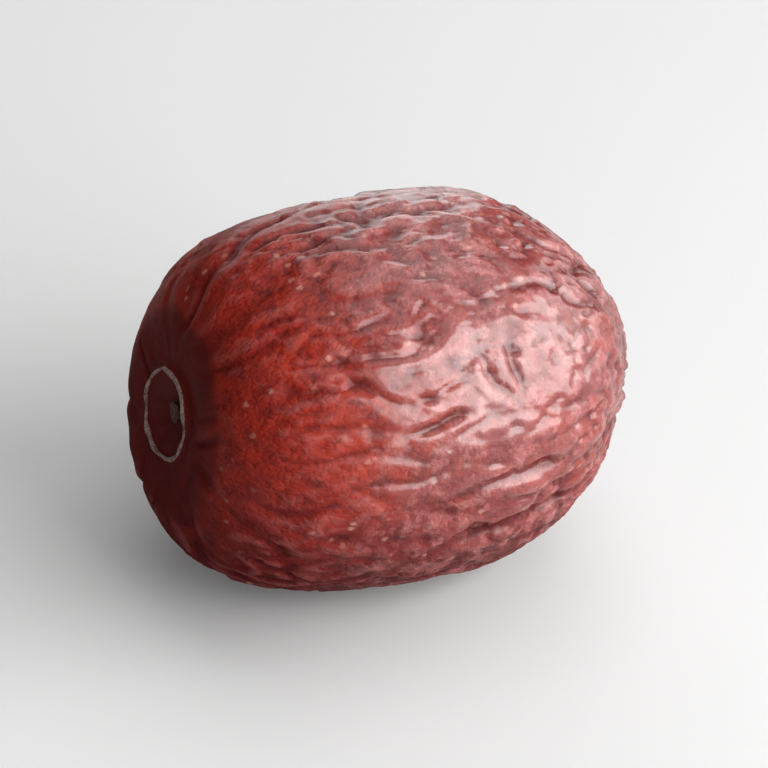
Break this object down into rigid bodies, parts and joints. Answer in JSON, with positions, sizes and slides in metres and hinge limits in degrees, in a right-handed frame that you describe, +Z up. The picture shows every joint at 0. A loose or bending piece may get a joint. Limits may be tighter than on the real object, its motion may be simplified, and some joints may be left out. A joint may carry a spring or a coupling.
{
  "type": "dried jujube",
  "caption": "Whole plump dried red jujube lying on its side, with wrinkled skin, a blunt stem end with a dish inside a thin cork ring, and a small scar at the tip.",
  "frame": {"origin": "middle of the fruit's outline seen from above, on the surface that it lies on", "axes": "+X along the fruit towards its tip, with the stem end at -X and a little raised; +Z up"},
  "size_m": [0.0306, 0.0238, 0.0235],
  "materials": {
    "skin": "dried fruit skin, dark red-brown and mottled, leathery with a soft gloss"
  },
  "bodies": {
    "root": {"jujube": "skin"}
  },
  "joints": []
}
